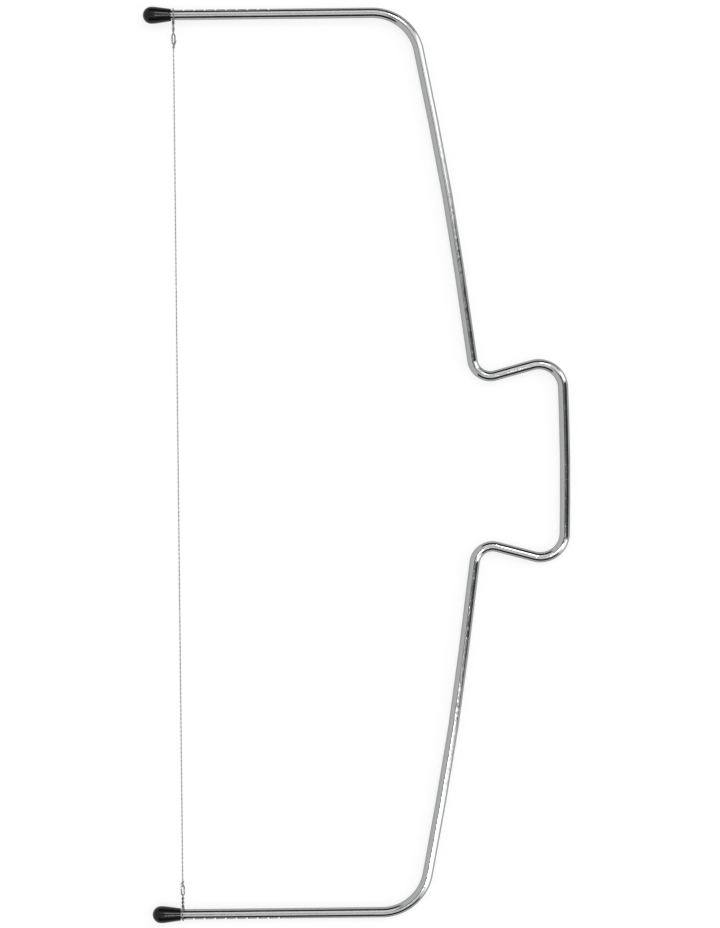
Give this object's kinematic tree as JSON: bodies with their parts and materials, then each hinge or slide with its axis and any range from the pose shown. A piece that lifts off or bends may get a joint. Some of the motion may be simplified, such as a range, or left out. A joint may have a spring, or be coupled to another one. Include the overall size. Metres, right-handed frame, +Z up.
{
  "type": "wire cake leveler",
  "caption": "Bent chromed-steel rod frame with a hand grip and notched legs that hold a taut twisted cutting wire, with soft black feet on the leg ends.",
  "frame": {"origin": "on the surface that the tool lies on, under the middle of its box", "axes": "+X runs from the feet to the grip, +Y along the cutting wire, +Z up, square to the plane of the frame"},
  "size_m": [0.1492, 0.3236, 0.006],
  "materials": {
    "frame_steel": "chrome-plated, bright",
    "foot_rubber": "moulded, satin black",
    "hanger_steel": "drawn stainless wire",
    "wire_steel": "drawn stainless wire, two strands twisted"
  },
  "bodies": {
    "frame": {"frame_rod": "frame_steel", "left_foot": "foot_rubber", "right_foot": "foot_rubber"},
    "wire": {"left_hanger": "hanger_steel", "right_hanger": "hanger_steel", "cutting_wire": "wire_steel"}
  },
  "joints": [
    {"name": "wire_height", "type": "slide", "parent": "frame", "child": "wire", "axis": [1, 0, 0], "range_m": [0, 0.03375]}
  ]
}
